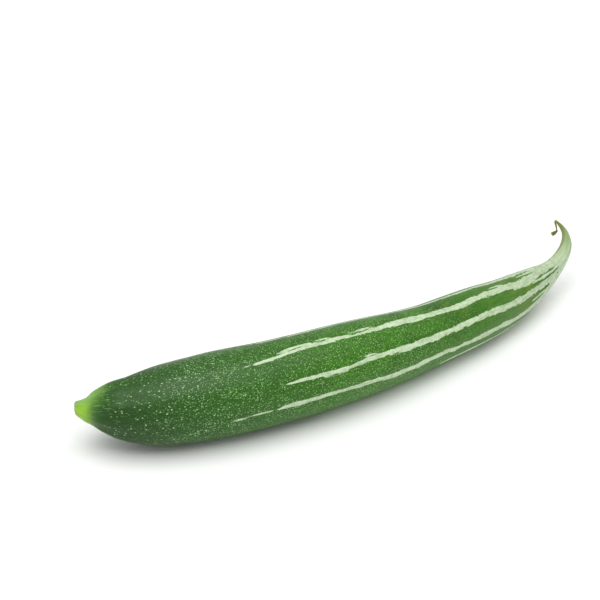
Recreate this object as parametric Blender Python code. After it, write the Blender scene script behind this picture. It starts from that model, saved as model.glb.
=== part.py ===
"""A striped snake gourd lying on its side: the fruit, its cut stalk and the withered flower at its tip.

The gourd is swept along a centre line that bends in plan and lifts at both ends. The line runs
from the cut stalk at -X to the hooked tip at +X. The origin is under the middle of its box.
Run it with blender --background --python part.py, or from Blender's text editor.
"""
import math

import bmesh
import bpy
import numpy as np
from mathutils import Vector

MM = 0.001

# Driving dimensions, in millimetres and degrees. Places are distances along the centre line.
LENGTH = 368.0              # from the stalk's cut face to the fruit's tip
BELLY_HEADING = 12.0        # the straight belly's direction in plan, from +X towards +Y
SHOULDER_TURN = 41.7        # how far the line has turned by the belly, most of it near the stalk
HOOK_START = 251.5          # where the neck begins to hook
HOOK_TURN = 89.4            # how far the hook turns by the tip
HOOK_SHARPNESS = 5.7        # a power: the higher it is, the more of the turn is close to the tip
STALK_LIFT = 21.9           # the underside's height above the surface at the stalk
SHOULDER_REST = 56.4        # where the underside first touches the surface
STALK_EASE = 2.25           # a power: how gently the shoulder comes down to the surface
NECK_REST = 258.0           # where it last touches
TIP_LIFT = 31.2             # the underside's height at the tip
TIP_EASE = 1.65             # a power: how gently the neck leaves the surface
SINK = 0.4                  # how much of the underside is pressed flat

# The fruit's half widths: each pair is a distance along the centre line and a radius there.
GIRTH = (
    (0.0, 3.4),             # the stalk's cut face
    (5.0, 6.4),             # the foot of the stalk
    (11.0, 10.6),
    (18.0, 14.4),
    (28.0, 17.7),           # the shoulder
    (42.0, 20.9),
    (67.0, 22.9),           # the widest stretch
    (104.0, 22.9),
    (155.0, 21.8),
    (207.0, 18.6),
    (259.0, 16.2),
    (296.0, 11.5),          # the neck
    (326.0, 5.5),
    (348.0, 3.3),
    (360.0, 1.7),
    (368.0, 0.8),           # the tip
)

STALK_END = 5.0             # where the stalk meets the fruit
STALK_RADIUS = GIRTH[0][1]
CUT_BULGE = 1.3             # how far the rounded cut face stands out
CUT_SLANT = 0.3             # the cut runs off square by this slope, with its upper edge further out
TIP_RADIUS = GIRTH[-1][1]
JOINT_GAP = 0.3             # clear space between neighbouring pieces

# The dried flower thread: it hangs from the tip to a kink, and a shrivelled knot grows from the kink.
THREAD_DROP = 7.5           # from the tip down to the kink
THREAD_LEAN = 1.6           # how far its end swings away from the knot's side
THREAD_RADIUS = 0.65
THREAD_WAIST = 0.4          # its radius just above the kink
KNOT_TURN = 55.0            # the knot's direction in plan, from the tip's own direction
KNOT_REACH = 2.8            # the knot's length sideways
KNOT_FALL = 2.1             # how far the knot slopes down
KNOT_RADIUS = 1.1

LINE_STEP = 0.5             # spacing of the points that the centre line is summed from
RING_SIDES = 36
RING_PER_RADIUS = 0.36      # spacing of the rings, as a share of the radius there
RING_STEP_RANGE = (1.5, 7.0)
ROUNDING = (25, 50, 75)     # turns, in degrees, at which rings round off an end
SHARP_EDGE = 50.0           # edges bent more than this, in degrees, stay crisp
CURVE_STEPS = 3             # steps per point along the thread, and round a quarter of it

# Each material: linear colour and roughness.
SKIN = ((0.10, 0.26, 0.07), 0.42)
STALK = ((0.42, 0.60, 0.20), 0.55)
DRIED_FLOWER = ((0.16, 0.11, 0.04), 0.85)


def smooth_value(place, stations):
    """A smooth curve through the stations, read at one or many places."""
    xs, ys = np.array(stations, dtype=float).T
    slopes = np.gradient(ys, xs)
    place = np.clip(place, xs[0], xs[-1])
    left = np.clip(np.searchsorted(xs, place, side="right") - 1, 0, len(xs) - 2)
    gap = xs[left + 1] - xs[left]
    t = (place - xs[left]) / gap
    start, end = ys[left], ys[left + 1]
    slope_in, slope_out = slopes[left] * gap, slopes[left + 1] * gap
    return (
        start * (2 * t**3 - 3 * t**2 + 1)
        + slope_in * (t**3 - 2 * t**2 + t)
        + end * (3 * t**2 - 2 * t**3)
        + slope_out * (t**3 - t**2)
    )


def heading(place):
    """Direction of the centre line in plan, in radians from +X."""
    shoulder = (1 - place / LENGTH) ** 2
    hook = np.clip((place - HOOK_START) / (LENGTH - HOOK_START), 0, 1) ** HOOK_SHARPNESS
    return np.radians(BELLY_HEADING - SHOULDER_TURN * shoulder + HOOK_TURN * hook)


def underside(place):
    """Height of the underside above the surface, before the belly is pressed flat."""
    stalk = np.clip(1 - place / SHOULDER_REST, 0, 1) ** STALK_EASE
    tip = np.clip((place - NECK_REST) / (LENGTH - NECK_REST), 0, 1) ** TIP_EASE
    return STALK_LIFT * stalk + TIP_LIFT * tip - SINK


def centre_line():
    """Places along the line, and the line's points in millimetres."""
    places = np.arange(0, LENGTH + LINE_STEP / 2, LINE_STEP)
    height = underside(places) + smooth_value(places, GIRTH)
    rise = np.gradient(height, places)
    run = np.sqrt(np.clip(1 - rise**2, 0, 1)) * LINE_STEP
    turn = heading(places)
    x = np.concatenate([[0], np.cumsum((run * np.cos(turn))[:-1])])
    y = np.concatenate([[0], np.cumsum((run * np.sin(turn))[:-1])])
    return places, np.stack([x, y, height], axis=1)


def point_and_direction(place, line):
    """The centre line's point and its unit direction at one place."""
    places, points = line
    point = [np.interp(place, places, points[:, axis]) for axis in range(3)]
    ahead = [np.interp(min(place + 1, LENGTH), places, points[:, axis]) for axis in range(3)]
    behind = [np.interp(max(place - 1, 0), places, points[:, axis]) for axis in range(3)]
    return Vector(point), (Vector(ahead) - Vector(behind)).normalized()


def ring(centre, direction, radius):
    """A round ring square to the direction, counted from its lowest point."""
    sideways = direction.cross(Vector((0, 0, 1))).normalized()
    upward = sideways.cross(direction).normalized()
    turns = [2 * math.pi * side / RING_SIDES for side in range(RING_SIDES)]
    return [centre + (sideways * math.sin(turn) - upward * math.cos(turn)) * radius for turn in turns]


def loft(name, rings, material, root):
    """A closed skin over the rings, with a flat cap at each end. Its origin is the first ring's centre."""
    origin = sum(rings[0], Vector()) / len(rings[0])
    mesh_maker = bmesh.new()
    loops = [[mesh_maker.verts.new((point - origin) * MM) for point in points] for points in rings]
    for loop, following in zip(loops, loops[1:]):
        for side in range(len(loop)):
            beside = (side + 1) % len(loop)
            mesh_maker.faces.new((loop[side], loop[beside], following[beside], following[side]))
    mesh_maker.faces.new(reversed(loops[0]))
    mesh_maker.faces.new(loops[-1])
    bmesh.ops.recalc_face_normals(mesh_maker, faces=mesh_maker.faces)
    mesh = bpy.data.meshes.new(name)
    mesh_maker.to_mesh(mesh)
    mesh_maker.free()
    mesh.shade_smooth()
    mesh.set_sharp_from_angle(angle=math.radians(SHARP_EDGE))
    mesh.materials.append(material)
    piece = bpy.data.objects.new(name, mesh)
    piece.location = origin * MM
    piece.parent = root
    bpy.context.collection.objects.link(piece)
    return piece


def ring_places(start, end):
    """Places of the rings from start to end, closer together where the gourd is thin."""
    smallest, largest = RING_STEP_RANGE
    places = [start]
    while places[-1] < end:
        step = RING_PER_RADIUS * float(smooth_value(places[-1], GIRTH))
        places.append(places[-1] + min(max(step, smallest), largest))
    stretch = (end - start) / (places[-1] - start)
    return [start + (place - start) * stretch for place in places]


def sweep(start, end, line):
    """Rings of the gourd's own width along one stretch of the centre line, flat where it rests."""
    rings = []
    for place in ring_places(start, end):
        centre, direction = point_and_direction(place, line)
        points = ring(centre, direction, float(smooth_value(place, GIRTH)))
        rings.append([Vector((point.x, point.y, max(point.z, 0))) for point in points])
    return rings


def rounded_end(centre, direction, radius, bulge):
    """Shrinking rings that round off an end, out to the bulge, which is negative at a line's start."""
    turns = [math.radians(turn) for turn in ROUNDING]
    return [
        ring(centre + direction * bulge * math.sin(turn), direction, radius * math.cos(turn))
        for turn in turns
    ]


def make_fruit(line, root):
    """The fruit, from the foot of the stalk to the rounded tip."""
    tip, direction = point_and_direction(LENGTH, line)
    rings = sweep(STALK_END + JOINT_GAP, LENGTH, line)
    rings += rounded_end(tip, direction, TIP_RADIUS, TIP_RADIUS)
    return loft("fruit", rings, material("skin", *SKIN), root)


def make_stalk(line, root):
    """The short stub of the stalk, cut off at a slant, with the cut edge rounded over."""
    cut, direction = point_and_direction(0, line)
    foot, _ = point_and_direction(STALK_END, line)
    rings = rounded_end(cut, direction, STALK_RADIUS, -CUT_BULGE)[::-1]
    rings += sweep(0, STALK_END, line)
    for points in rings:
        middle = sum(points, Vector()) / RING_SIDES
        share = min(1, (foot - middle).length / STALK_END)
        for point in points:
            point -= direction * (point.z - middle.z) * CUT_SLANT * share
    return loft("stalk_stub", rings, material("stalk", *STALK), root)


def flower_route(top, direction):
    """Points and radii down the thread, round the kink and out to the knot's end."""
    plan = math.atan2(direction.y, direction.x) + math.radians(KNOT_TURN)
    aside = Vector((math.cos(plan), math.sin(plan), 0))
    down = Vector((0, 0, -1))
    kink = top - aside * THREAD_LEAN + down * THREAD_DROP
    knot = aside * KNOT_REACH + down * KNOT_FALL
    return (
        (top - down * THREAD_RADIUS * 0.5, THREAD_RADIUS * 0.7),
        (top + down * THREAD_RADIUS, THREAD_RADIUS),
        (top.lerp(kink, 0.5), THREAD_RADIUS * 0.8),
        (top.lerp(kink, 0.85), THREAD_WAIST),
        (kink, THREAD_WAIST * 1.3),
        (kink + knot * 0.3, KNOT_RADIUS * 0.8),
        (kink + knot * 0.7, KNOT_RADIUS),
        (kink + knot, KNOT_RADIUS * 0.7),
    )


def make_withered_flower(line, root):
    """The dried thread that hangs from the tip, and the shrivelled knot at its end."""
    tip, direction = point_and_direction(LENGTH, line)
    top = tip + direction * (TIP_RADIUS + JOINT_GAP + THREAD_RADIUS)
    route = flower_route(top, direction)
    curve = bpy.data.curves.new("withered_flower", "CURVE")
    curve.dimensions = "3D"
    curve.bevel_depth = MM
    curve.bevel_resolution = CURVE_STEPS
    curve.resolution_u = CURVE_STEPS
    curve.use_fill_caps = True
    spline = curve.splines.new("NURBS")
    spline.points.add(len(route) - 1)
    for point, (place, radius) in zip(spline.points, route):
        point.co = (*((place - top) * MM), 1)
        point.radius = radius
    spline.order_u = 3
    spline.use_endpoint_u = True
    curve.materials.append(material("dried_flower", *DRIED_FLOWER))
    piece = bpy.data.objects.new("withered_flower", curve)
    piece.location = top * MM
    piece.parent = root
    bpy.context.collection.objects.link(piece)
    return piece


def bounds(pieces):
    """The lowest and highest corner of the pieces' shared box, in metres."""
    graph = bpy.context.evaluated_depsgraph_get()
    corners = []
    for piece in pieces:
        shown = piece.evaluated_get(graph)
        corners += [shown.matrix_world @ vertex.co for vertex in shown.to_mesh().vertices]
        shown.to_mesh_clear()
    corners = np.array(corners)
    return corners.min(axis=0), corners.max(axis=0)


def material(name, colour, roughness):
    """A plain material with one colour and no metal in it."""
    made = bpy.data.materials.new(name)
    made.use_nodes = True
    shader = made.node_tree.nodes["Principled BSDF"]
    shader.inputs["Base Color"].default_value = (*colour, 1)
    shader.inputs["Roughness"].default_value = roughness
    shader.inputs["Metallic"].default_value = 0
    return made


def main():
    for old in list(bpy.data.objects):
        bpy.data.objects.remove(old)
    root = bpy.data.objects.new("gourd", None)
    bpy.context.collection.objects.link(root)
    line = centre_line()
    pieces = [make_fruit(line, root), make_stalk(line, root), make_withered_flower(line, root)]
    lowest, highest = bounds(pieces)
    middle = (lowest + highest) / 2
    root.location = (-middle[0], -middle[1], -lowest[2])


main()
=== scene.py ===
"""A striped snake gourd lying on a pale floor: its skin, its cut stalk and the withered flower at its tip.

Every size is in metres and every turn in radians. Places are distances along the gourd's centre line,
from the stalk's cut face to the tip, and turns about that line count from its top, towards -Y.
"""
import math

import bpy
import numpy as np
from bpy.props import FloatProperty, FloatVectorProperty, IntProperty, PointerProperty
from mathutils import Matrix, Vector


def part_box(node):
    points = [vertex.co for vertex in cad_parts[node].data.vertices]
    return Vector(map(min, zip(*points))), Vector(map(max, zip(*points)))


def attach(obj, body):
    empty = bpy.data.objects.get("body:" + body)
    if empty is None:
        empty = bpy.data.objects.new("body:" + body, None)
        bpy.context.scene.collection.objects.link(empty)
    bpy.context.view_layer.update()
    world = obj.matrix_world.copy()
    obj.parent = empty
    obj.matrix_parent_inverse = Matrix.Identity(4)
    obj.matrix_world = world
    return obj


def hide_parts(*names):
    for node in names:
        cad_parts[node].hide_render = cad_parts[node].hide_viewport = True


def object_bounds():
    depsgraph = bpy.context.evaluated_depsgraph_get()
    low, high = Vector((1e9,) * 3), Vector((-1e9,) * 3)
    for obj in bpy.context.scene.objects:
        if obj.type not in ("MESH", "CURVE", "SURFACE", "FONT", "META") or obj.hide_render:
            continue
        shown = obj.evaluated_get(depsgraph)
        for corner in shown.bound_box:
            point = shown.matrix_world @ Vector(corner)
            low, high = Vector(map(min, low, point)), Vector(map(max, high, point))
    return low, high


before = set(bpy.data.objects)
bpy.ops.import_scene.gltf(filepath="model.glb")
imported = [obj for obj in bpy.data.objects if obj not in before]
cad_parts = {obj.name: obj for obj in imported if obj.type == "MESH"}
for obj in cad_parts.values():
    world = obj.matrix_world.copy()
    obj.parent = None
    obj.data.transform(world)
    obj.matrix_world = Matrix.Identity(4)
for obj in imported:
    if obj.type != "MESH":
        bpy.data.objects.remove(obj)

bl_info = {
    "name": "Striped Snake Gourd",
    "version": (1, 0, 0),
    "blender": (4, 5, 0),
    "location": "View3D > Sidebar > Gourd",
    "description": "Makes a striped snake gourd with its stalk and withered flower, and a small studio",
    "category": "Add Mesh",
}

CAD_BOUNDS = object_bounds()
MM = 0.001
MAP_MARGIN = 0.02  # clear space around each row of the skin's bake map

# The centre line, in millimetres and degrees.
LENGTH = 368.0  # from the stalk's cut face to the fruit's tip
BELLY_HEADING = 12.0  # the straight belly's direction in plan, from +X towards +Y
SHOULDER_TURN = 41.7  # how far the line turns on from the stalk, ever less towards the tip
HOOK_START = 251.5  # where the neck begins to hook
HOOK_TURN = 89.4  # how far the hook turns by the tip
HOOK_SHARPNESS = 5.7  # a power: the higher, the more of the turn is by the tip
STALK_LIFT = 21.9  # the underside's height above the surface at the stalk
SHOULDER_REST = 56.4  # where the underside first touches the surface
STALK_EASE = 2.25  # a power: how gently the shoulder comes down to the surface
NECK_REST = 258.0  # where it last touches
TIP_LIFT = 31.2  # the underside's height at the tip
TIP_EASE = 1.65  # a power: how gently the neck leaves the surface
SINK = 0.4  # how much of the underside is pressed flat
LINE_STEP = 0.5  # spacing of the points along it

# Half widths: each pair is a distance along the centre line and a radius there, in millimetres.
GIRTH = (
    (0, 3.4),  # the stalk's cut face
    (5, 6.4),  # the foot of the stalk
    (11, 10.6),
    (18, 14.4),
    (28, 17.7),  # the shoulder
    (42, 20.9),
    (67, 22.9),  # the widest stretch
    (104, 22.9),
    (155, 21.8),
    (207, 18.6),
    (259, 16.2),
    (296, 11.5),  # the neck
    (326, 5.5),
    (348, 3.3),
    (360, 1.7),
    (368, 0.8),  # the tip
)

# The stalk, in millimetres.
STALK_END = 5.0  # where the stalk meets the fruit
STALK_RADIUS = GIRTH[0][1]
STALK_LAP = 2.0  # how far the stalk's skin runs on flush with the fruit's
STALK_FLUSH = STALK_END + STALK_LAP
STALK_DIP = (1.0, 0.25)  # where in the lap its skin starts to dip, and how far it dips
STALK_FOOT = (  # its foot inside the fruit: distances past the joint, and radii
    (2.8, 6.6),
    (3.6, 4.5),
    (4.5, 0.05),
)
STALK_SIDES = 96  # corners in each of its rings
STALK_RINGS = 20
STALK_RIB_END = 3.0  # how far ahead of the joint its ribs and lumps start to fade
STALK_LUMP = 0.22  # height of its lumps
CUT_BULGE = 1.17  # how far the rounded cut face stands out
CUT_ROUNDING = 0.8  # a power: the lower, the squarer the rim
CUT_SLANT = 0.3  # the slope by which its upper edge stands further out
PITH_DIP = (0.45, 0.7)  # how far the pith sinks, and a power: the lower, the flatter its floor

# The fruit's skin, in millimetres.
FRUIT_TUCK = 0.35  # how far the fruit's skin dips under the stalk's
FRUIT_TUCK_LENGTH = 3.0
FRUIT_LEAD = 0.3  # how far its hidden end starts ahead of the joint
FRUIT_CAP = (0.01, 0.3, 0.6, 0.9)  # radii that close its hidden end, as shares of the joint's
TIP_CAP = np.radians((0, 20, 40, 60, 75, 85, 89))  # turns that round off its tip
SHOULDER_RIDGES = (16.0, 26.0)  # where they are highest, and how far they reach
SHOULDER_RIDGE_START = 6.0  # how far past the lap they take to rise
NECK_RIDGES = (262.0, 302.0)  # where they rise to their full height
TIP_SMOOTH = 30.0  # how far ahead of the tip they start to fade
FULL_LUMPS = 20.0  # the radius at which the skin's lumps are full
LUMP_START = 8.0  # how far past the joint they take to rise
RIDGE_SWAY = 2.2  # how far the lumps push the ridges sideways, in radians

# The withered flower, in millimetres: a thread from the tip down to a kink, and a knot beyond it.
THREAD_DROP = 7.5
THREAD_LEAN = 1.6  # how far its end swings away from the knot
THREAD_RADIUS = 0.65
THREAD_WAIST = 0.4  # its radius just above the kink
KNOT_TURN = 55.0  # the knot's direction in plan, from the tip's own direction
KNOT_REACH = 2.8
KNOT_FALL = 2.1
KNOT_RADIUS = 1.1
FLOWER_SIDES = 28  # corners in each of its rings
FLOWER_RINGS = 110
FLOWER_END = 0.02  # its radius where it closes
WRINKLE_GIRTH = 0.6  # the radius at which its wrinkles have their own height
SCRAP_START = 0.8  # how far past the knot's start the scraps of petal are thickest
SCRAP_FOOT, SCRAP_END = 0.2, 0.03  # half widths of a scrap, as shares of its length
SCRAP_FLATNESS = 0.4  # its thickness, as a share of its width
SCRAP_LEAN = (1.2, 1.2, 3.1)  # the most that a scrap turns about each axis

# Stretches of the skin, in metres: where a look fades in, and where it fades out.
SPECKED = ((0.014, 0.070), (0.17, 0.27))
DOTTED = ((0.010, 0.022), (0.055, 0.12))
STAINED = ((0.20, 0.25), (0.29, 0.33))
LOWER_SIDE_LAG = 0.009  # how much sooner the stalk's green ends on the side towards -Y
THREAD_SHADE = (0.02, 0.06, 0.012)  # what the skin's fibres multiply its green by

# The studio, in metres.
CAMERA_PLACE = (-0.43975, -0.57549, 0.46360)
CAMERA_TARGET = (-0.01192, 0.05227, 0.02500)
SENSOR_WIDTH = 36.0  # in millimetres
SOFTBOX_OFFSET = (-0.1, -0.17)  # how far it hangs to the side, as shares of its height
FLOOR_GAP = 0.0002  # how far the floor lies below the gourd

# Each pale stripe: its places, in millimetres, with its turn from the top, in degrees, and its width.
STRIPES = (
    ((100, -20, 0.9), (108, -20.5, 1.3), (150, -22, 1.4), (210, -19, 1.8), (250, -15, 2.6), (290, -14, 3.6),
     (322, -15, 2.6)),
    ((286, 3, 0.9), (292, 2, 2.0), (306, 2, 3.0), (322, 3, 2.4)),
    ((92, 26, 0.9), (97, 24.5, 1.6), (107, 21.5, 1.7), (119, 18, 2.2), (137, 16.5, 3.2), (152, 18, 1.7),
     (178, 15.5, 4.2), (207, 17, 3.4), (228, 20.5, 3.2), (254, 18, 4.0), (271, 20, 4.6), (281, 25, 6.0),
     (297, 25, 5.0), (308, 18, 3.6), (322, 20, 2.6)),
    ((107, 61.3, 0.9), (111, 61, 1.5), (141, 61.5, 1.8), (161, 59, 2.7), (185, 60, 3.2), (212, 58, 3.2),
     (250, 58, 3.4), (274, 61, 3.6), (300, 63, 3.4), (312, 66, 3.8),
     (322, 64, 2.8)),
    ((100, 93.4, 0.9), (104, 93.4, 1.7), (134, 92, 1.9), (153, 94, 2.6), (180, 96.5, 3.2), (197, 93, 2.8),
     (227, 95.5, 2.8), (246, 95, 3.2), (262, 97, 3.6), (284, 104, 4.4), (304, 104, 4.6),
     (322, 101, 3.0)),
    ((206, 119, 0.9), (214, 118.5, 1.8), (250, 122, 2.4), (290, 127, 2.8), (322, 127, 2.0)),
    ((128, 152, 0.9), (134, 152, 1.8), (180, 150, 2.8), (240, 153, 3.2), (286, 154, 3.6), (322, 155, 2.4)),
    ((102, 187, 0.9), (108, 187, 1.7), (160, 184, 2.4), (220, 189, 3.4), (286, 186, 3.8), (322, 186, 2.6)),
    ((118, -135, 0.9), (124, -135, 1.8), (170, -137, 3.0), (230, -132, 3.2), (286, -136, 4.0),
     (322, -135, 2.6)),
    ((92, -95, 0.9), (98, -95, 1.6), (140, -93, 2.2), (190, -98, 3.4), (240, -95, 3.2), (286, -96, 4.0),
     (322, -95, 2.8)),
    ((112, -57, 0.9), (118, -57, 1.7), (160, -58, 2.8), (220, -55, 3.4), (286, -57, 4.0), (322, -56, 2.6)),
)
# Thin lines that split the dark gaps of the neck and run on into its pale end.
NECK_LINES = (
    ((292, 42, 0.8), (302, 43, 1.5), (314, 44, 1.5), (322, 45, 1.3)),
    ((286, 83, 0.8), (298, 84, 1.4), (314, 85, 1.6), (322, 85, 1.3)),
    ((290, 115, 0.8), (304, 116, 1.5), (322, 117, 1.3)),
    ((296, -35, 0.8), (306, -36, 1.4), (322, -36, 1.3)),
    ((294, -75, 0.8), (308, -76, 1.4), (322, -77, 1.3)),
    ((298, 171, 0.8), (310, 170, 1.4), (322, 170, 1.3)),
)
# Short strands that lie beside a stripe or ahead of its start.
STRANDS = (
    ((86, 27.5, 0.7), (88, 27, 0.7)),
    ((105, 17.5, 0.8), (115, 13, 1.6), (126, 11.5, 0.9)),
    ((128, 11, 0.7), (132, 10.5, 1.0), (137, 11, 0.7)),
    ((150, 12, 0.7), (156, 11.5, 1.0), (163, 11, 0.7)),
    ((256, 8, 0.8), (263, 7, 1.6), (269, 9, 0.8)),
    ((75, 97.5, 0.8), (80, 96, 1.1), (84, 95, 0.8)),
    ((87, 94, 0.8), (91, 93.6, 1.0), (96, 93.4, 0.8)),
    ((103, 90.5, 0.8), (109, 90, 1.1), (117, 91, 0.8)),
    ((151, 54, 0.7), (155, 53.5, 1.1), (159, 54, 0.7)),
    ((127, 66, 0.7), (134, 66.5, 0.9), (140, 66, 0.7)),
    ((92, -21, 0.7), (97, -20.5, 0.8)),
    ((80, -98, 0.8), (85, -97, 1.0), (90, -97, 0.8)),
    ((104, -140, 0.8), (110, -139, 1.1), (115, -138, 0.8)),
)
STRIPE_LEAD = 5.0  # how far a stripe takes to thin out ahead of its first place
STRIPE_TAPER = 1.2  # how far each edge moves in over that length
NECK_FILL = (318.0, 350.0)  # where the stripes widen until they meet
NECK_FILL_WIDTH = 1.4  # how much wider each edge gets over that stretch
NECK_FILL_EASE = 1.3  # a power: the higher it is, the later they widen


def colour_property(name, description, *screen):
    """A colour given as a screen shows it, each part from 0 to 255, and kept as a linear one."""
    parts = [part / 255 for part in screen]
    linear = [part / 12.92 if part < 0.04045 else ((part + 0.055) / 1.055) ** 2.4 for part in parts]
    return FloatVectorProperty(
        name=name, description=description, subtype="COLOR", size=3, min=0, max=1, default=linear
    )


def length_property(name, description, default):
    return FloatProperty(
        name=name, description=description, default=default, min=0, unit="LENGTH", precision=5
    )


class GourdSkinSettings(bpy.types.PropertyGroup):
    """Sizes and colours of the fruit's skin"""

    sides: IntProperty(name="Sides", description="Corners in each ring of skin", default=176, min=12)
    ring_spacing: length_property("Ring Spacing", "Distance between rings of skin", 0.0013)
    lump_height: length_property("Lump Height", "How far the skin swells and dips", 0.0003)
    lump_length: length_property("Lump Length", "Distance from one swelling to the next", 0.03)
    ridge_count: IntProperty(name="Ridges", description="Soft ridges around the ends", default=10)
    shoulder_ridge: length_property("Shoulder Ridge", "Height of the ridges by the stalk", 0.00035)
    neck_ridge: length_property("Neck Ridge", "Height of the ridges on the neck", 0.0003)
    speck_spacing: length_property("Speck Spacing", "Distance between the fine specks", 0.00086)
    speck_radius: length_property("Speck Radius", "Radius of the fine specks", 0.00038)
    dot_spacing: length_property("Dot Spacing", "Distance between the dots by the stalk", 0.00125)
    dot_radius: length_property("Dot Radius", "Radius of the dots by the stalk", 0.00036)
    stripe_ragged: length_property("Ragged Edge", "How far a stripe's edge strays", 0.0029)
    stalk_green: colour_property("Stalk Green", "Skin at the foot of the stalk", 122, 170, 72)
    stalk_yellow: colour_property("Stalk Yellow", "The stalk's bright lower side", 138, 186, 44)
    shoulder_green: colour_property("Shoulder Green", "Skin over the shoulder", 38, 84, 17)
    belly_green: colour_property("Belly Green", "Skin along the belly", 50, 103, 13)
    vivid_green: colour_property("Vivid Green", "Skin from the belly to the neck", 65, 122, 14)
    deep_green: colour_property("Deep Green", "Darker patches of skin", 42, 92, 8)
    neck_green: colour_property("Neck Green", "Skin between the stripes before the neck", 80, 122, 42)
    gap_green: colour_property("Gap Green", "Skin in the dark gaps of the neck", 62, 102, 42)
    olive: colour_property("Olive", "Small olive patches before the neck", 104, 128, 30)
    tip_green: colour_property("Tip Green", "Skin near the tip", 150, 172, 120)
    tip_olive: colour_property("Tip Olive", "Skin at the very tip", 112, 122, 52)
    stripe_pale: colour_property("Stripe", "The stripes on the belly", 200, 219, 184)
    neck_pale: colour_property("Neck Stripe", "The stripes on the neck", 188, 206, 172)
    # Painted shade: this green darkens the shoulder's underside by the stalk. It also colours the skin's
    # tiny dark pits.
    painted_shade_and_pit_green: colour_property("Shade Green", "Skin under the shoulder", 30, 68, 12)
    speck_pale: colour_property("Specks", "The fine specks", 160, 204, 134)
    dot_pale: colour_property("Dots", "The dots by the stalk", 176, 212, 150)


class GourdStalkSettings(bpy.types.PropertyGroup):
    """Sizes and colours of the cut stalk"""

    ridge_count: IntProperty(name="Ridges", description="Ribs around the stalk", default=5, min=0)
    ridge_height: length_property("Ridge Height", "Height of the stalk's ribs", 0.0003)
    cut: colour_property("Cut Face", "The cut face", 160, 186, 108)
    cut_dry: colour_property("Dried Cut", "The dried rim and pith of the cut face", 132, 140, 84)


class GourdFlowerSettings(bpy.types.PropertyGroup):
    """Sizes and colours of the withered flower"""

    wrinkle_height: length_property("Wrinkle Height", "Depth of the dried wrinkles", 0.00012)
    scraps: IntProperty(name="Scraps", description="Curled scraps of petal on the knot", default=22, min=1)
    scrap_size: length_property("Scrap Length", "Length of a scrap of petal", 0.0008)
    thread: colour_property("Thread", "The dried thread", 166, 158, 94)
    knot: colour_property("Knot", "The shrivelled knot", 128, 120, 60)
    knot_dark: colour_property("Knot Folds", "The knot's darkest folds", 74, 62, 32)


class GourdStageSettings(bpy.types.PropertyGroup):
    """Sizes and strengths of the floor, the lights and the camera"""

    floor_size: length_property("Floor", "Width of the floor", 8.0)
    floor_colour: FloatVectorProperty(
        name="Floor Colour", description="The pale floor", subtype="COLOR", default=(0.9, 0.9, 0.9)
    )
    softbox_size: length_property("Softbox", "Width of the overhead softbox", 3.2)
    softbox_height: length_property("Softbox Height", "Height of the overhead softbox", 3.0)
    softbox_power: FloatProperty(name="Softbox Power", description="Watts", default=80.0, min=0)
    sky: FloatProperty(name="Surroundings", description="Brightness all round", default=0.62, min=0)
    lens: FloatProperty(name="Lens", description="Focal length in mm", default=90.0, min=10)


SETTINGS = {
    "gourd_skin": GourdSkinSettings,
    "gourd_stalk": GourdStalkSettings,
    "gourd_flower": GourdFlowerSettings,
    "gourd_stage": GourdStageSettings,
}


# The centre line.


def ramp(value, start, full):
    """Rises evenly from 0 at start to 1 at full, which may be the lower of the two."""
    return np.clip((value - start) / (full - start), 0, 1)


def smooth_value(place, xs, ys):
    """A smooth curve through ys at xs, read at one or many places."""
    slopes = np.gradient(ys, xs)
    place = np.clip(place, xs[0], xs[-1])
    left = np.clip(np.searchsorted(xs, place, side="right") - 1, 0, len(xs) - 2)
    gap = xs[left + 1] - xs[left]
    t = (place - xs[left]) / gap
    start, end = ys[left], ys[left + 1]
    slope_in, slope_out = slopes[left] * gap, slopes[left + 1] * gap
    return (
        start * (2 * t**3 - 3 * t**2 + 1)
        + slope_in * (t**3 - 2 * t**2 + t)
        + end * (3 * t**2 - 2 * t**3)
        + slope_out * (t**3 - t**2)
    )


def girth_at(place):
    return smooth_value(place, *np.array(GIRTH).T)


def heading(place):
    """Direction of the centre line in plan, in radians from +X."""
    shoulder = (1 - place / LENGTH) ** 2
    hook = ramp(place, HOOK_START, LENGTH) ** HOOK_SHARPNESS
    return np.radians(BELLY_HEADING - SHOULDER_TURN * shoulder + HOOK_TURN * hook)


def underside(place):
    """Height of the underside above the surface, before the belly is pressed flat."""
    stalk = ramp(place, SHOULDER_REST, 0) ** STALK_EASE
    tip = ramp(place, NECK_REST, LENGTH) ** TIP_EASE
    return STALK_LIFT * stalk + TIP_LIFT * tip - SINK


def centre_line():
    """Places along the line, the line's points and its unit directions, in millimetres, in the frame."""
    places = np.arange(0, LENGTH + LINE_STEP / 2, LINE_STEP)
    girth = girth_at(places)
    height = underside(places) + girth
    rise = np.gradient(height, places)
    run = np.sqrt(np.clip(1 - rise**2, 0, 1)) * LINE_STEP
    turn = heading(places)
    x, y = (np.concatenate([[0], np.cumsum(run * way)[:-1]]) for way in (np.cos(turn), np.sin(turn)))
    points = np.stack([x, y, height], axis=1)
    directions = np.gradient(points, axis=0)
    directions /= np.linalg.norm(directions, axis=1, keepdims=True)
    fruit = places > STALK_END
    reach = girth[:, None] * np.sqrt(1 - directions**2)
    lowest = (points - reach)[fruit].min(axis=0)
    box_lowest = np.array(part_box("fruit")[0]) / MM
    points[:, :2] += (box_lowest - lowest)[:2]
    return places, points, directions


LINE = centre_line()


def on_line(place, beyond=0.0):
    """Points and unit directions at places on the line, moved beyond them along the direction."""
    places, points, directions = LINE
    place = np.atleast_1d(place)
    point, direction = (
        np.stack([np.interp(place, places, part) for part in table.T], axis=1)
        for table in (points, directions)
    )
    direction /= np.linalg.norm(direction, axis=1, keepdims=True)
    return point + direction * np.reshape(beyond, (-1, 1)), direction


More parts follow.
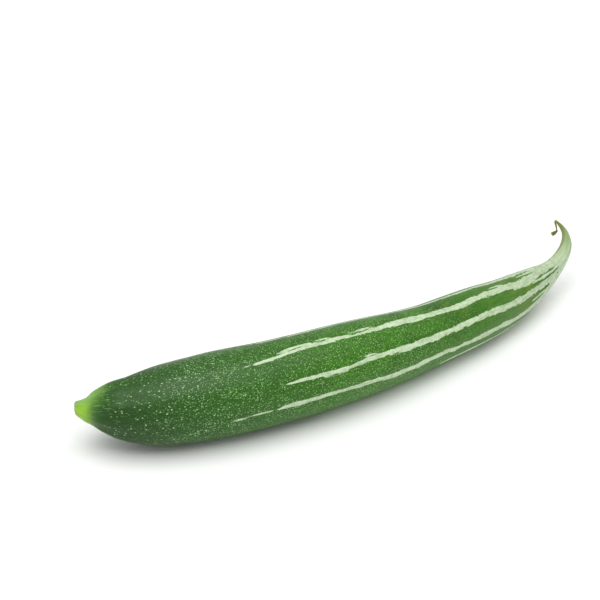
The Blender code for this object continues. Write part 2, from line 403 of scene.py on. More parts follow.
def turns_about_line(around, directions):
    """Turns about the line, from its top towards -Y, of places given from each ring's own middle."""
    sideways = np.cross(directions, (0.0, 0.0, 1.0))
    sideways /= np.linalg.norm(sideways, axis=1, keepdims=True)
    upward = np.cross(sideways, directions)
    side, up = (np.einsum("rsk,rk->rs", around, axis) for axis in (sideways, upward))
    return np.arctan2(side, up)


# Nodes.


class TreeMaker:
    """Adds nodes to a tree. An input is given as a value or as the socket that feeds it."""

    def __init__(self, tree):
        self.tree = tree

    def add(self, kind, inputs=None, **settings):
        node = self.tree.nodes.new(kind)
        for name, value in settings.items():
            setattr(node, name, value)
        for key, value in (inputs or {}).items():
            self.feed(node.inputs[key], value)
        return node

    def first(self, kind, inputs=None, **settings):
        """The first output of a new node."""
        return self.add(kind, inputs, **settings).outputs[0]

    def shape(self, kind, inputs=None, **settings):
        """The first output of a new geometry node."""
        return self.first("GeometryNode" + kind, inputs, **settings)

    def feed(self, socket, value):
        if isinstance(value, bpy.types.NodeSocket):
            self.tree.links.new(value, socket)
        else:
            socket.default_value = value

    def math(self, operation, a, b=0.0):
        return self.first("ShaderNodeMath", {0: a, 1: b}, operation=operation)

    def times(self, result, *others):
        for other in others:
            result = self.math("MULTIPLY", result, other)
        return result

    def plus(self, result, *others):
        for other in others:
            result = self.math("ADD", result, other)
        return result

    def parts(self, vector):
        return self.add("ShaderNodeSeparateXYZ", {0: vector}).outputs[:3]

    def joined(self, x, y, z):
        return self.first("ShaderNodeCombineXYZ", {0: x, 1: y, 2: z})

    def fade(self, value, start, end, low=0.0, high=1.0):
        """Eases from low at start to high at end."""
        inputs = {"Value": value, "From Min": start, "From Max": end, "To Min": low, "To Max": high}
        return self.first("ShaderNodeMapRange", inputs, interpolation_type="SMOOTHSTEP")

    def stretch(self, along, begin, end):
        """One over a stretch of the gourd, fading in over begin and out over end."""
        return self.times(self.fade(along, *begin), self.fade(along, *reversed(end)))

    def mix(self, share, a, b, blend="MIX"):
        """A colour between a and b."""
        a, b = (end if isinstance(end, bpy.types.NodeSocket) else (*end, 1.0) for end in (a, b))
        inputs = {0: share, 6: a, 7: b}
        return self.add("ShaderNodeMix", inputs, data_type="RGBA", blend_type=blend).outputs[2]

    def colours_along(self, value, stops):
        """Blends from colour to colour; each stop is a value and a colour, the values rising."""
        colour = stops[0][1]
        for (start, _), (end, following) in zip(stops, stops[1:]):
            colour = self.mix(self.fade(value, start, end), colour, following)
        return colour

    def noise(self, place, scale, detail, roughness, seed):
        inputs = {"Vector": place, "W": seed, "Scale": scale, "Detail": detail, "Roughness": roughness}
        return self.first("ShaderNodeTexNoise", inputs, noise_dimensions="4D")

    def read(self, name, output="Vector"):
        return self.add("ShaderNodeAttribute", attribute_name=name).outputs[output]

    def group(self, name, inputs):
        return self.first("ShaderNodeGroup", inputs, node_tree=bpy.data.node_groups[name])

    def fibres(self, place, length, width, seed):
        return self.group("Fibres", {"Place": place, "Length": length, "Width": width, "Seed": seed})

    def speckles(self, place, spacing, radius):
        return self.group("Speckles", {"Place": place, "Spacing": spacing, "Radius": radius})

    def dress(self, shader, colour, roughness, relief, strength, depth):
        """Feeds a shader its colour, its roughness and its relief."""
        bump = self.first("ShaderNodeBump", {"Strength": strength, "Distance": depth, "Height": relief})
        for name, value in (("Base Color", colour), ("Roughness", roughness), ("Normal", bump)):
            self.feed(shader.inputs[name], value)


def new_tree(name, kind, inputs, output, output_kind):
    """A tree with named sockets; its maker, the inputs' sockets and the output node.

    Each input is a default number, or the word for a kind of socket.
    """
    group = bpy.data.node_groups.new(name, kind)
    for socket, given in inputs.items():
        word = given if isinstance(given, str) else "Float"
        made = group.interface.new_socket(socket, in_out="INPUT", socket_type="NodeSocket" + word)
        if word is not given:
            made.default_value = given
    group.interface.new_socket(output, in_out="OUTPUT", socket_type="NodeSocket" + output_kind)
    tree = TreeMaker(group)
    return tree, tree.add("NodeGroupInput").outputs, tree.add("NodeGroupOutput")


def make_speckle_group():
    """Round pale spots of uneven size, scattered over a surface."""
    inputs = {"Place": "Vector", "Spacing": 0.001, "Radius": 0.0004, "Softness": 0.35}
    tree, given, result = new_tree("Speckles", "ShaderNodeTree", inputs, "Mask", "Float")
    scale = tree.math("DIVIDE", 1, given["Spacing"])
    cells = tree.add("ShaderNodeTexVoronoi", {"Vector": given["Place"], "Scale": scale})
    distance = tree.times(cells.outputs["Distance"], given["Spacing"])
    core = tree.times(given["Radius"], given["Softness"])
    tone = tree.first("ShaderNodeSeparateColor", {0: cells.outputs["Color"]})
    strength = tree.fade(tone, 0.05, 0.9, 0.1, 1)
    spot = tree.fade(distance, given["Radius"], core)
    tree.feed(result.inputs[0], tree.times(spot, strength))


def make_fibre_group():
    """Fine streaks that run along the gourd."""
    inputs = {"Place": "Vector", "Length": 0.02, "Width": 0.001, "Seed": 0.0}
    tree, given, result = new_tree("Fibres", "ShaderNodeTree", inputs, "Height", "Float")
    sizes = (given["Length"], given["Width"], given["Width"])
    streak = [tree.math("DIVIDE", part, size) for part, size in zip(tree.parts(given["Place"]), sizes)]
    tree.feed(result.inputs[0], tree.noise(tree.joined(*streak), 1, 3, 0.55, given["Seed"]))


STEM_COLOURS = ("Stalk", "Yellow", "Shoulder", "Painted Shade", "Streaks")


def make_stem_group():
    """The greens where the stalk runs out over the shoulder, with painted shade under the shoulder and
    streaks that fan out from it.
    """
    inputs = {"Facing": "Vector", **dict.fromkeys(STEM_COLOURS, "Color")}
    tree, given, result = new_tree("Stem Greens", "ShaderNodeTree", inputs, "Color", "Color")
    along, topness, side = tree.parts(given["Facing"])
    reach = tree.plus(along, tree.times(tree.math("MAXIMUM", side, 0), LOWER_SIDE_LAG))
    colour = tree.mix(tree.fade(reach, 0.007, 0.022), given["Stalk"], given["Shoulder"])
    # Painted shade: the shoulder darkens where its skin faces down, starting just past the stalk.
    under = tree.times(
        tree.fade(topness, 0.8, 0.3),
        tree.fade(along, 0.062, 0.02, 0, 0.85),
        tree.fade(along, 0.008, 0.018),
    )
    colour = tree.mix(under, colour, given["Painted Shade"])
    glow = tree.times(tree.fade(along, 0.0095, 0.003), tree.fade(side, 0.15, 0.95))
    colour = tree.mix(glow, colour, given["Yellow"])
    streaks = tree.times(
        tree.fade(tree.fibres(given["Facing"], 0.006, 0.065, 8), 0.54, 0.72),
        tree.fade(along, 0.034, 0.012, 0, 0.5),
        tree.fade(topness, -0.3, 0.7, 0.35, 1),
    )
    tree.feed(result.inputs[0], tree.mix(streaks, colour, given["Streaks"]))


def stem_greens(tree, facing, skin):
    colours = (skin.stalk_green, skin.stalk_yellow, skin.shoulder_green, skin.painted_shade_and_pit_green, skin.dot_pale)
    inputs = {name: (*colour, 1) for name, colour in zip(STEM_COLOURS, colours)}
    return tree.group("Stem Greens", {"Facing": facing, **inputs})


def new_material(name, roughness):
    material = bpy.data.materials.new(name)
    material.use_nodes = True
    material.node_tree.nodes.clear()
    tree = TreeMaker(material.node_tree)
    shader = tree.add("ShaderNodeBsdfPrincipled", {"Roughness": roughness, "Specular IOR Level": 0.3})
    tree.add("ShaderNodeOutputMaterial", {0: shader.outputs[0]})
    return material, tree, shader


def skin_material(skin):
    """Green skin with pale broken stripes, specks and a pale neck."""
    material, tree, shader = new_material("gourd skin", 0.4)
    place = tree.read("skin_place")
    facing = tree.read("facing")
    along, topness, side = tree.parts(facing)

    # The stripes: the wider one is, the further its edges stray.
    steps = tree.fibres(place, 0.009, 0.0022, 1)
    lace = tree.fibres(place, 0.0026, 0.0009, 2)
    stray = tree.plus(tree.times(steps, 0.68), tree.times(lace, 0.32))
    half_width = tree.read("stripe_half", "Fac")
    ragged = tree.fade(half_width, 0.0002, 0.0016, skin.stripe_ragged * 0.45, skin.stripe_ragged * 2)
    stray = tree.times(tree.math("SUBTRACT", stray, 0.5), ragged)
    stripe = tree.fade(tree.plus(tree.read("stripe_gap", "Fac"), stray), 0.00012, -0.00014)
    thin = tree.noise(place, 420, 2, 0.6, 3)
    stripe = tree.times(stripe, tree.fade(thin, 0.3, 0.6, 0.72, 1))

    # Specks all over the belly, and longer dots by the stalk.
    patchy = tree.noise(place, 140, 2, 0.5, 4)
    specks = tree.times(
        tree.stretch(along, *SPECKED),
        tree.fade(patchy, 0.3, 0.6, 0.5, 1),
        tree.speckles(place, skin.speck_spacing, skin.speck_radius),
    )
    longer = tree.first("ShaderNodeMapping", {"Vector": place, "Scale": (0.5, 1, 1)})
    dots = tree.times(
        tree.stretch(along, *DOTTED),
        tree.fade(patchy, 0.25, 0.5, 0.45, 1),
        tree.speckles(longer, skin.dot_spacing, skin.dot_radius),
    )

    # The green under them, with painted shade under the shoulder by the stalk, darker clouds, olive stains,
    # fibres, mottling and tiny pits.
    green = tree.colours_along(along, (
        (0.090, skin.belly_green),
        (0.150, skin.vivid_green),
        (0.230, skin.vivid_green),
        (0.285, skin.neck_green),
        (0.312, skin.gap_green),
        (0.345, skin.tip_green),
        (0.366, skin.tip_olive),
    ))
    base = tree.mix(tree.fade(along, 0.035, 0.100), stem_greens(tree, facing, skin), green)
    cloud = tree.noise(place, 45, 3, 0.55, 5)
    deep = tree.times(
        tree.fade(cloud, 0.42, 0.66),
        tree.fade(along, 0.06, 0.16),
        tree.fade(along, 0.3, 0.24, 0, 0.75),
        tree.fade(topness, 0.1, 0.9, 0.25, 1),
    )
    base = tree.mix(deep, base, skin.deep_green)
    stain = tree.fade(tree.noise(place, 90, 2, 0.5, 10), 0.5, 0.68, 0, 0.5)
    base = tree.mix(tree.times(tree.stretch(along, *STAINED), stain), base, skin.olive)
    past_stalk = tree.fade(along, 0.006, 0.020)
    grain = tree.fibres(place, 0.012, 0.0012, 6)
    threads = tree.times(tree.fade(grain, 0.3, 0.7, 0, 0.3), past_stalk)
    base = tree.mix(threads, base, THREAD_SHADE, "MULTIPLY")
    mottle = tree.noise(place, 700, 2, 0.6, 7)
    marks = tree.times(tree.fade(mottle, 0.35, 0.7, 0, 0.35), past_stalk)
    base = tree.mix(marks, base, skin.speck_pale, "SOFT_LIGHT")
    pits = tree.fade(tree.noise(place, 1150, 1, 0.5, 9), 0.48, 0.66, 0, 0.75)
    pits = tree.times(pits, tree.fade(along, 0.3, 0.2), past_stalk)
    base = tree.mix(pits, base, skin.painted_shade_and_pit_green)

    colour = tree.mix(specks, base, skin.speck_pale)
    colour = tree.mix(dots, colour, skin.dot_pale)
    pale = tree.mix(tree.fade(along, 0.2, 0.3), skin.stripe_pale, skin.neck_pale)
    pale = tree.mix(tree.fade(along, 0.328, 0.352, 0, 0.9), pale, skin.tip_green)
    pale = tree.mix(tree.fade(along, 0.352, 0.367), pale, skin.tip_olive)
    pale = tree.mix(tree.fade(grain, 0.35, 0.7, 0, 0.3), pale, skin.neck_green)
    colour = tree.mix(stripe, colour, pale)
    inner = tree.times(tree.fade(side, 0.1, -0.8), tree.fade(along, 0.322, 0.35, 0, 0.7))
    colour = tree.mix(inner, colour, skin.tip_olive)

    spots = tree.math("MAXIMUM", specks, dots)
    heights = ((stripe, 0.35), (spots, 0.3), (grain, 0.5), (mottle, 0.25))
    relief = tree.plus(*(tree.times(*height) for height in heights))
    tree.dress(shader, colour, tree.fade(cloud, 0.3, 0.7, 0.36, 0.46), relief, 0.5, 0.0003)
    return material


def stalk_material(stalk, skin):
    """Yellow-green stalk with fibres, and a paler, drier cut face."""
    material, tree, shader = new_material("stalk", 0.5)
    facing = tree.read("facing")
    along = tree.parts(facing)[0]
    cut = tree.read("cut_share", "Fac")
    place = tree.add("ShaderNodeTexCoord").outputs["Object"]
    fibres = tree.fibres(facing, 0.02, 0.16, 1)
    streaks = tree.times(tree.fade(fibres, 0.45, 0.7, 0, 0.4), tree.fade(along, 0.006, 0.002))
    colour = tree.mix(streaks, stem_greens(tree, facing, skin), stalk.cut)
    stains = tree.fade(tree.noise(place, 320, 2, 0.5, 2), 0.5, 0.7, 0, 0.5)
    colour = tree.mix(tree.times(stains, tree.fade(along, 0.003, 0)), colour, stalk.cut_dry)
    pits = tree.speckles(place, 0.0009, 0.0003)
    face = tree.mix(pits, stalk.cut, stalk.cut_dry)
    face = tree.mix(tree.fade(cut, 0.55, 0.2, 0, 0.7), face, stalk.cut_dry)
    colour = tree.mix(tree.fade(cut, 0.05, 0.2), colour, face)
    grain = tree.fibres(tree.read("skin_place"), 0.006, 0.0006, 3)
    relief = tree.plus(grain, tree.times(cut, -0.8, pits))
    tree.dress(shader, colour, tree.fade(fibres, 0.3, 0.7, 0.42, 0.58), relief, 0.6, 0.0003)
    return material


def flower_material(flower):
    """Dried, wrinkled olive thread, darkening to the brown knot."""
    material, tree, shader = new_material("withered flower", 0.8)
    facing = tree.read("facing")
    along = tree.parts(facing)[0]
    place = tree.add("ShaderNodeTexCoord").outputs["Object"]
    fibres = tree.fibres(facing, 0.003, 0.3, 1)
    folds = tree.noise(place, 1400, 3, 0.6, 2)
    colour = tree.mix(tree.fade(along, 0.0062, 0.0092), flower.thread, flower.knot)
    colour = tree.mix(tree.fade(fibres, 0.4, 0.7, 0, 0.6), colour, flower.knot)
    colour = tree.mix(tree.fade(folds, 0.5, 0.72, 0, 0.8), colour, flower.knot_dark)
    roughness = tree.fade(folds, 0.3, 0.7, 0.68, 0.9)
    tree.dress(shader, colour, roughness, tree.plus(fibres, folds), 0.8, 0.0002)
    return material


def floor_material(settings):
    """Pale matt floor with a faint unevenness."""
    material, tree, shader = new_material("floor", 0.9)
    place = tree.add("ShaderNodeTexCoord").outputs["Object"]
    cloud = tree.noise(place, 3, 2, 0.5, 1)
    paler = tuple(min(1, part * 1.03) for part in settings.floor_colour)
    tree.feed(shader.inputs["Base Color"], tree.mix(cloud, settings.floor_colour, paler))
    return material


def geometry_tree(name, inputs):
    inputs = {"Geometry": "Geometry", **inputs, "Material": "Material"}
    return new_tree(name, "GeometryNodeTree", inputs, "Geometry", "Geometry")


def finish_tree(tree, given, result, shape):
    """Makes a shape smooth and real, gives it the tree's material and sends it out."""
    shape = tree.shape("SetShadeSmooth", {0: shape})
    shape = tree.shape("RealizeInstances", {0: shape})
    shape = tree.shape("SetMaterial", {0: shape, "Material": given["Material"]})
    tree.feed(result.inputs[0], shape)


def named(tree, name):
    return tree.shape("InputNamedAttribute", {"Name": name})


def make_sweep_tree():
    """Sweeps a ridged, lumpy skin along a line. The line's own girth, ridge and lump give the heights."""
    inputs = {"Sides": "Int", "Ridges": "Int", "Lump Length": "Float", "Seed": "Float"}
    tree, given, result = geometry_tree("Ridged Sweep", inputs)
    line = tree.shape("MeshToCurve", {0: given["Geometry"]})
    line = tree.shape("SetCurveNormal", {0: line}, mode="Z_UP")
    circle = tree.shape("CurvePrimitiveCircle", {"Resolution": given["Sides"]})
    share = tree.math("DIVIDE", tree.shape("InputIndex"), given["Sides"])
    circle = tree.shape("StoreNamedAttribute", {
        "Geometry": circle, "Name": "around", "Value": tree.times(share, math.tau),
    })
    skin = tree.shape("CurveToMesh", {
        "Curve": line, "Profile Curve": circle, "Scale": named(tree, "girth"), "Fill Caps": True,
    })
    scale = tree.math("DIVIDE", 1, given["Lump Length"])
    lumps = tree.noise(tree.shape("InputPosition"), scale, 2.5, 0.45, given["Seed"])
    lumps = tree.times(tree.math("SUBTRACT", lumps, 0.5), 2)
    turn = tree.times(named(tree, "around"), given["Ridges"])
    ridges = tree.math("COSINE", tree.plus(turn, tree.times(lumps, RIDGE_SWAY)))
    height = tree.plus(
        tree.times(lumps, named(tree, "lump")), tree.times(ridges, named(tree, "ridge"))
    )
    offset = tree.first("ShaderNodeVectorMath", {
        0: tree.shape("InputNormal"), "Scale": height,
    }, operation="SCALE")
    skin = tree.shape("SetPosition", {"Geometry": skin, "Offset": offset})
    finish_tree(tree, given, result, skin)


def make_scraps_tree():
    """Scatters small curled scraps over the part of a surface that its scrap_share attribute marks."""
    inputs = {"Density": "Float", "Length": "Float", "Curl": "Float", "Seed": "Int"}
    tree, given, result = geometry_tree("Petal Scraps", inputs)
    length, seed = given["Length"], given["Seed"]
    scrap = tree.shape("MeshCone", {
        "Vertices": 8,
        "Side Segments": 6,
        "Radius Top": tree.times(length, SCRAP_END),
        "Radius Bottom": tree.times(length, SCRAP_FOOT),
        "Depth": length,
    })
    x, y, z = tree.parts(tree.shape("InputPosition"))
    bend = tree.math("DIVIDE", tree.times(z, z), length)
    flat = tree.times(x, SCRAP_FLATNESS)
    bent = tree.joined(tree.plus(flat, tree.times(bend, given["Curl"])), y, z)
    scrap = tree.shape("SetPosition", {"Geometry": scrap, "Position": bent})
    density = tree.times(named(tree, "scrap_share"), given["Density"])
    spread = tree.add("GeometryNodeDistributePointsOnFaces", {
        "Mesh": given["Geometry"], "Density": density, "Seed": seed,
    })
    lean = tuple(-part for part in SCRAP_LEAN)
    spin = tree.first("FunctionNodeRandomValue", {
        "Min": lean, "Max": SCRAP_LEAN, "Seed": seed,
    }, data_type="FLOAT_VECTOR")
    turn = tree.first("FunctionNodeRotateRotation", {
        "Rotation": spread.outputs["Rotation"], "Rotate By": spin,
    }, rotation_space="LOCAL")
    size = tree.add("FunctionNodeRandomValue", {"Min": 0.5, "Max": 1.2, "Seed": seed})
    scraps = tree.shape("InstanceOnPoints", {
        "Points": spread.outputs["Points"], "Instance": scrap, "Rotation": turn, "Scale": size.outputs[1],
    })
    finish_tree(tree, given, result, scraps)


def new_object(name, data):
    made = bpy.data.objects.new(name, data)
    bpy.context.collection.objects.link(made)
    return made


def run_tree(name, mesh, tree, values):
    """The plain mesh that a Geometry Nodes tree makes from a mesh, with the tree's inputs set by name."""
    maker = new_object(name + "_maker", mesh)
    modifier = maker.modifiers.new("Shape", "NODES")
    modifier.node_group = bpy.data.node_groups[tree]
    identifiers = {
        item.name: item.identifier
        for item in modifier.node_group.interface.items_tree
        if item.item_type == "SOCKET" and item.in_out == "INPUT"
    }
    for key, value in values.items():
        modifier[identifiers[key]] = value
    graph = bpy.context.evaluated_depsgraph_get()
    made = bpy.data.meshes.new_from_object(maker.evaluated_get(graph))
    maker.modifiers.remove(modifier)
    bpy.data.objects.remove(maker)
    made.name = name
    return made


def line_mesh(name, points, **heights):
    """An edge line through the points, in millimetres, carrying a height at each one."""
    mesh = bpy.data.meshes.new(name + "_line")
    edges = [(index, index + 1) for index in range(len(points) - 1)]
    mesh.from_pydata((np.asarray(points) * MM).tolist(), edges, [])
    for key, values in heights.items():
        mesh.attributes.new(key, "FLOAT", "POINT").data.foreach_set("value", np.asarray(values) * MM)
    return mesh


def vertex_places(mesh):
    places = np.empty(len(mesh.vertices) * 3)
    mesh.vertices.foreach_get("co", places)
    return places.reshape(-1, 3)


def set_vertex_places(mesh, places):
    mesh.vertices.foreach_set("co", places.ravel())
    mesh.update()


def store(mesh, name, *parts):
    """Keeps a number, or a vector given as its three parts, at each vertex."""
    values = np.stack(np.broadcast_arrays(*parts), axis=-1)
    kind, key = ("FLOAT", "value") if len(parts) == 1 else ("FLOAT_VECTOR", "vector")
    mesh.attributes.new(name, kind, "POINT").data.foreach_set(key, values.ravel())


def store_places(mesh, run, turns, girth):
    """Keeps each corner's place on the skin, unrolled about the line, and the way it faces."""
    run, girth = run[:, None], girth[:, None]
    store(mesh, "skin_place", run * MM, np.cos(turns) * girth * MM, np.sin(turns) * girth * MM)
    store(mesh, "facing", run * MM, np.cos(turns), np.sin(turns))


def finish_piece(name, mesh):
    piece = new_object(name, mesh)
    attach(piece, "root")
    return piece


# The fruit.


def skin_rings(settings):
    """Places, distances beyond them and radii of the skin's rings, closed at both ends, in millimetres."""
    places = np.arange(STALK_END, LENGTH, settings.ring_spacing / MM)
    girth = girth_at(places)
    tuck = FRUIT_TUCK * ramp(places, STALK_END + FRUIT_TUCK_LENGTH, STALK_END)
    cap = np.array(FRUIT_CAP) * girth[0]
    tip = girth_at(LENGTH)
    hidden = np.full(len(cap), STALK_END - FRUIT_LEAD)
    places = np.concatenate([hidden, places, np.full(len(TIP_CAP), LENGTH)])
    beyond = np.zeros(len(places))
    beyond[-len(TIP_CAP):] = tip * np.sin(TIP_CAP)
    return places, beyond, np.concatenate([cap, girth - tuck, tip * np.cos(TIP_CAP)])


def stripe_gap(places, turns, girth):
    """Distance in millimetres from each spot to the nearest stripe's edge, and half that stripe's width.

    The distance is below zero inside a stripe.
    """
    nearest = np.full(turns.shape, np.inf)
    nearest_half = np.zeros(turns.shape)
    fill = NECK_FILL_WIDTH * ramp(places, *NECK_FILL) ** NECK_FILL_EASE
    for stripe in STRIPES + NECK_LINES + STRANDS:
        at, turn, width = np.array(stripe, dtype=float).T
        short = stripe in STRANDS
        half = smooth_value(places, at, width) / 2
        across = (turns - smooth_value(places, at, turn) + 180) % 360 - 180
        ahead = np.clip(at[0] - places, 0, None)
        past = np.clip(places - at[-1], 0, None) if short else 0
        widen = 0 if short else fill
        taper = (ahead + past) / STRIPE_LEAD * STRIPE_TAPER
        gap = np.abs(np.radians(across)) * girth - half - widen + taper
        nearest_half = np.where(gap < nearest, half + widen, nearest_half)
        nearest = np.minimum(nearest, gap)
    return nearest, nearest_half


def whole_numbers(items, name):
    """One whole number from each item."""
    found = np.empty(len(items), dtype=int)
    items.foreach_get(name, found)
    return found


def bake_map(mesh, rings, sides):
    """A map of the whole skin in two rows, so that the bake gives every stretch the same detail."""
    corner_vertex = whole_numbers(mesh.loops, "vertex_index")
    starts = whole_numbers(mesh.polygons, "loop_start")
    counts = whole_numbers(mesh.polygons, "loop_total")
    face = np.repeat(np.arange(len(starts)), counts)
    ring, side = corner_vertex // sides, (corner_vertex % sides).astype(float)
    side_span = np.maximum.reduceat(side, starts) - np.minimum.reduceat(side, starts)
    side[(side_span[face] > 1) & (counts[face] == 4) & (side == 0)] = sides
    half = rings // 2
    second = (np.minimum.reduceat(ring, starts) >= half)[face]
    u = np.where(second, (ring - half) / (rings - half), ring / half)
    v = (side / sides * (1 - 2 * MAP_MARGIN) + MAP_MARGIN + second) / 2
    flat = np.stack([MAP_MARGIN / 2 + (1 - MAP_MARGIN) * u, v], axis=1)
    layer = mesh.uv_layers.new(name="OFBake")
    layer.data.foreach_set("uv", flat.ravel())


def make_fruit(settings):
    """The whole fruit as one skin, from the foot of the stalk to the tip."""
    places, beyond, girth = skin_rings(settings)
    centres, directions = on_line(places, beyond)
    peak, reach = SHOULDER_RIDGES
    shoulder = ramp(np.abs(places - peak), reach, 0)
    shoulder = shoulder * ramp(places, STALK_FLUSH, STALK_FLUSH + SHOULDER_RIDGE_START)
    neck = ramp(places, *NECK_RIDGES) * ramp(places, LENGTH, LENGTH - TIP_SMOOTH)
    ridge = (settings.shoulder_ridge * shoulder + settings.neck_ridge * neck) / MM
    lump = ramp(girth, 0, FULL_LUMPS) * ramp(places, STALK_END, STALK_END + LUMP_START)
    line = line_mesh("fruit_skin", centres, girth=girth, ridge=ridge, lump=settings.lump_height / MM * lump)
    mesh = run_tree("fruit_skin", line, "Ridged Sweep", {
        "Sides": settings.sides,
        "Ridges": settings.ridge_count,
        "Lump Length": settings.lump_length,
        "Seed": 3.0,
        "Material": skin_material(settings),
    })
    spots = vertex_places(mesh)
    spots[:, 2] = np.maximum(spots[:, 2], 0)
    set_vertex_places(mesh, spots)
    around = spots.reshape(len(places), settings.sides, 3) / MM - centres[:, None]
    turns = turns_about_line(around, directions)
    run = places + beyond
    store_places(mesh, run, turns, girth)
    gap, half = stripe_gap(run[:, None], np.degrees(turns), girth[:, None])
    store(mesh, "stripe_gap", gap * MM)
    store(mesh, "stripe_half", half * MM)
    bake_map(mesh, len(places), settings.sides)
    piece = finish_piece("fruit_skin", mesh)
    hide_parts("fruit")


# The stalk.


def make_stalk(settings, skin):
    """The stalk's stub, with low ribs, a rounded rim and a slanted cut face."""
    rim = np.radians(np.arange(88, 0, -8))
    run = np.linspace(0, STALK_FLUSH, STALK_RINGS)
    foot, foot_girth = np.array(STALK_FOOT).T
    places = np.concatenate([np.zeros(len(rim)), run, STALK_END + foot])
    bulge = np.zeros(len(places))
    bulge[:len(rim)] = -CUT_BULGE * np.sin(rim)
    dip_start, dip = STALK_DIP
    face = STALK_RADIUS * np.cos(rim) ** CUT_ROUNDING
    body = girth_at(run) - dip * ramp(run, STALK_END + dip_start, STALK_FLUSH) ** 2
    girth = np.concatenate([face, body, foot_girth])
    centres, directions = on_line(places, bulge)
    ribs = ramp(girth, 0, STALK_RADIUS) ** 3 * ramp(places, STALK_END, STALK_END - STALK_RIB_END)
    ridge = settings.ridge_height / MM * ribs
    line = line_mesh("stalk_end", centres, girth=girth, ridge=ridge, lump=STALK_LUMP * ribs)
    mesh = run_tree("stalk_end", line, "Ridged Sweep", {
        "Sides": STALK_SIDES,
        "Ridges": settings.ridge_count,
        "Lump Length": 0.004,
        "Seed": 8.0,
        "Material": stalk_material(settings, skin),
    })
    spots = vertex_places(mesh).reshape(len(places), STALK_SIDES, 3) / MM
    around = spots - centres[:, None]
    turns = turns_about_line(around, directions)
    slant = CUT_SLANT * ramp(places, STALK_END, 0)[:, None]
    spots -= directions[:, None] * (around[:, :, 2] * slant)[:, :, None]
    # The pith sinks a little and the rim of the cut stands up.
    face_share = (np.arange(len(places)) < len(rim)) * (1 - ramp(girth, 0, STALK_RADIUS))
    pith_dip, pith_power = PITH_DIP
    spots += directions[:, None] * (pith_dip * face_share**pith_power)[:, None, None]
    set_vertex_places(mesh, spots.reshape(-1, 3) * MM)
    store_places(mesh, places + bulge, turns, girth)
    store(mesh, "cut_share", np.repeat(face_share, STALK_SIDES))
    piece = finish_piece("stalk_end", mesh)
    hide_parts("stalk_stub")


# The withered flower.


def flower_route():
    """Points and radii from the tip down the thread, round the kink and out to the knot's end."""
    points, directions = on_line(LENGTH)
    tip, direction = Vector(points[0]), Vector(directions[0])
    top = tip + direction * (girth_at(LENGTH) + THREAD_RADIUS)
    plan = math.atan2(direction.y, direction.x) + math.radians(KNOT_TURN)
    aside = Vector((math.cos(plan), math.sin(plan), 0))
    down = Vector((0, 0, -1))
    kink = top - aside * THREAD_LEAN + down * THREAD_DROP
    knot = aside * KNOT_REACH + down * KNOT_FALL
    thread = (
        (tip, THREAD_RADIUS * 0.9),
        (top - direction * THREAD_RADIUS * 0.4, THREAD_RADIUS * 0.95),
        (top + down * THREAD_RADIUS * 0.6, THREAD_RADIUS * 0.9),
        (top.lerp(kink, 0.5), THREAD_RADIUS * 0.75),
        (top.lerp(kink, 0.85), THREAD_WAIST),
    )
    return thread, (
        (kink, THREAD_WAIST * 1.3),
        (kink + knot * 0.35, KNOT_RADIUS * 0.75),
        (kink + knot * 0.75, KNOT_RADIUS),
        (kink + knot, KNOT_RADIUS * 0.8),
        (kink + knot * 1.12, KNOT_RADIUS * 0.3),
    )


def make_flower(settings):
    """The wrinkled thread and knot, with curled scraps of petal on the knot."""
    thread, knot = flower_route()
    stations = np.array([(*point, radius) for point, radius in thread + knot])
    steps = np.linalg.norm(np.diff(stations[:, :3], axis=0), axis=1)
    distance = np.concatenate([[0], np.cumsum(steps)])
    run = np.linspace(0, distance[-1], FLOWER_RINGS)
    *points, girth = (smooth_value(run, distance, part) for part in stations.T)
    girth[[0, -1]] = FLOWER_END
    ridge = settings.wrinkle_height / MM * np.clip(girth / WRINKLE_GIRTH, 0.4, 1.6)
    ridge[[0, -1]] = 0
    points = np.stack(points, axis=1)
    line = line_mesh("flower_thread", points, girth=girth, ridge=ridge, lump=ridge * 1.4)
    mesh = run_tree("flower_thread", line, "Ridged Sweep", {
        "Sides": FLOWER_SIDES,
        "Ridges": 6,
        "Lump Length": 0.0014,
        "Seed": 5.0,
        "Material": flower_material(settings),
    })
    turns = np.arange(FLOWER_SIDES) / FLOWER_SIDES * math.tau
    store(mesh, "facing", run[:, None] * MM, np.cos(turns), np.sin(turns))
    make_scraps(settings, mesh, run, distance[len(thread)])
    piece = finish_piece("flower_thread", mesh)
    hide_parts("withered_flower")


def make_scraps(settings, thread, run, knot_start):
    """Curled scraps of petal that stand out from the knot."""
    share = ramp(run, knot_start, knot_start + SCRAP_START)
    base = thread.copy()
    store(base, "scrap_share", np.repeat(share, FLOWER_SIDES))
    knot_area = math.tau * KNOT_RADIUS * MM * (run[-1] - knot_start) * MM
    mesh = run_tree("petal_scraps", base, "Petal Scraps", {
        "Density": settings.scraps / knot_area,
        "Length": settings.scrap_size,
        "Curl": 0.9,
        "Seed": 4,
        "Material": thread.materials[0],
    })
    x, y, _ = vertex_places(mesh).T / MM / KNOT_RADIUS
    store(mesh, "facing", run[-1] * MM, x, y)
    finish_piece("petal_scraps", mesh)


# The stage.


def make_floor(settings):
    """A wide pale floor just under the gourd."""
    half = settings.floor_size / 2
    level = CAD_BOUNDS[0][2] - FLOOR_GAP
    corners = [(-half, -half, level), (half, -half, level), (half, half, level), (-half, half, level)]
    mesh = bpy.data.meshes.new("floor")
    mesh.from_pydata(corners, [], [(0, 1, 2, 3)])
    mesh.materials.append(floor_material(settings))
    floor = new_object("floor", mesh)


def aimed(place, target):
    """A turn and place that looks from one point at another, upright."""
    look = (Vector(target) - Vector(place)).to_track_quat("-Z", "Y")
    return Matrix.Translation(place) @ look.to_matrix().to_4x4()


def make_light(name, place, target, size, power):
    lamp = bpy.data.lights.new(name, "AREA")
    lamp.size = size
    lamp.energy = power
    new_object(name, lamp).matrix_world = aimed(place, target)


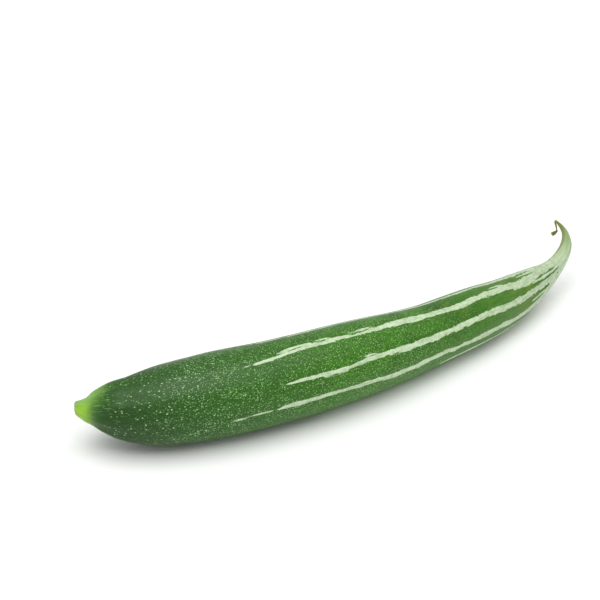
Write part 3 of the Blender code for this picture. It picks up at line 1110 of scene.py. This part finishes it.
def make_stage(settings):
    make_floor(settings)
    middle = (Vector(CAD_BOUNDS[0]) + Vector(CAD_BOUNDS[1])) / 2
    height = settings.softbox_height
    place = (*(height * share for share in SOFTBOX_OFFSET), height)
    make_light("softbox", place, middle, settings.softbox_size, settings.softbox_power)
    world = bpy.data.worlds.new("studio")
    world.use_nodes = True
    background = world.node_tree.nodes["Background"]
    background.inputs["Color"].default_value = (1, 1, 1, 1)
    background.inputs["Strength"].default_value = settings.sky
    bpy.context.scene.world = world
    camera_data = bpy.data.cameras.new("camera")
    camera_data.lens = settings.lens
    camera_data.sensor_width = SENSOR_WIDTH
    camera = new_object("camera", camera_data)
    camera.matrix_world = aimed(CAMERA_PLACE, CAMERA_TARGET)
    bpy.context.scene.camera = camera
    bpy.context.scene.view_settings.view_transform = "Standard"


class GOURD_OT_fruit(bpy.types.Operator):
    """Makes the gourd's striped skin"""

    bl_idname = "gourd.fruit"
    bl_label = "Fruit"

    def execute(self, context):
        make_fruit(context.scene.gourd_skin)
        return {"FINISHED"}


class GOURD_OT_stalk(bpy.types.Operator):
    """Makes the cut stub of the stalk"""

    bl_idname = "gourd.stalk"
    bl_label = "Stalk"

    def execute(self, context):
        make_stalk(context.scene.gourd_stalk, context.scene.gourd_skin)
        return {"FINISHED"}


class GOURD_OT_flower(bpy.types.Operator):
    """Makes the withered flower at the tip"""

    bl_idname = "gourd.flower"
    bl_label = "Withered Flower"

    def execute(self, context):
        make_flower(context.scene.gourd_flower)
        return {"FINISHED"}


class GOURD_OT_stage(bpy.types.Operator):
    """Makes the floor, the lights and the camera"""

    bl_idname = "gourd.stage"
    bl_label = "Stage"

    def execute(self, context):
        make_stage(context.scene.gourd_stage)
        return {"FINISHED"}


class GOURD_PT_panel(bpy.types.Panel):
    """Lists the gourd's pieces and their settings"""

    bl_idname = "GOURD_PT_panel"
    bl_label = "Gourd"
    bl_space_type = "VIEW_3D"
    bl_region_type = "UI"
    bl_category = "Gourd"

    def draw(self, context):
        for operator, group in zip(OPERATORS, SETTINGS):
            box = self.layout.box()
            box.operator(operator.bl_idname)
            settings = getattr(context.scene, group)
            for name in settings.bl_rna.properties.keys():
                if name not in {"rna_type", "name"}:
                    box.prop(settings, name)


OPERATORS = (GOURD_OT_fruit, GOURD_OT_stalk, GOURD_OT_flower, GOURD_OT_stage)


def register():
    for group in (*SETTINGS.values(), *OPERATORS, GOURD_PT_panel):
        bpy.utils.register_class(group)
    for name, group in SETTINGS.items():
        setattr(bpy.types.Scene, name, PointerProperty(type=group))


def unregister():
    for name in SETTINGS:
        delattr(bpy.types.Scene, name)
    for group in reversed((*SETTINGS.values(), *OPERATORS, GOURD_PT_panel)):
        bpy.utils.unregister_class(group)


def main():
    register()
    make_speckle_group()
    make_fibre_group()
    make_stem_group()
    make_sweep_tree()
    make_scraps_tree()
    bpy.ops.gourd.fruit()
    bpy.ops.gourd.stalk()
    bpy.ops.gourd.flower()
    bpy.ops.gourd.stage()


if __name__ == "__main__":
    main()
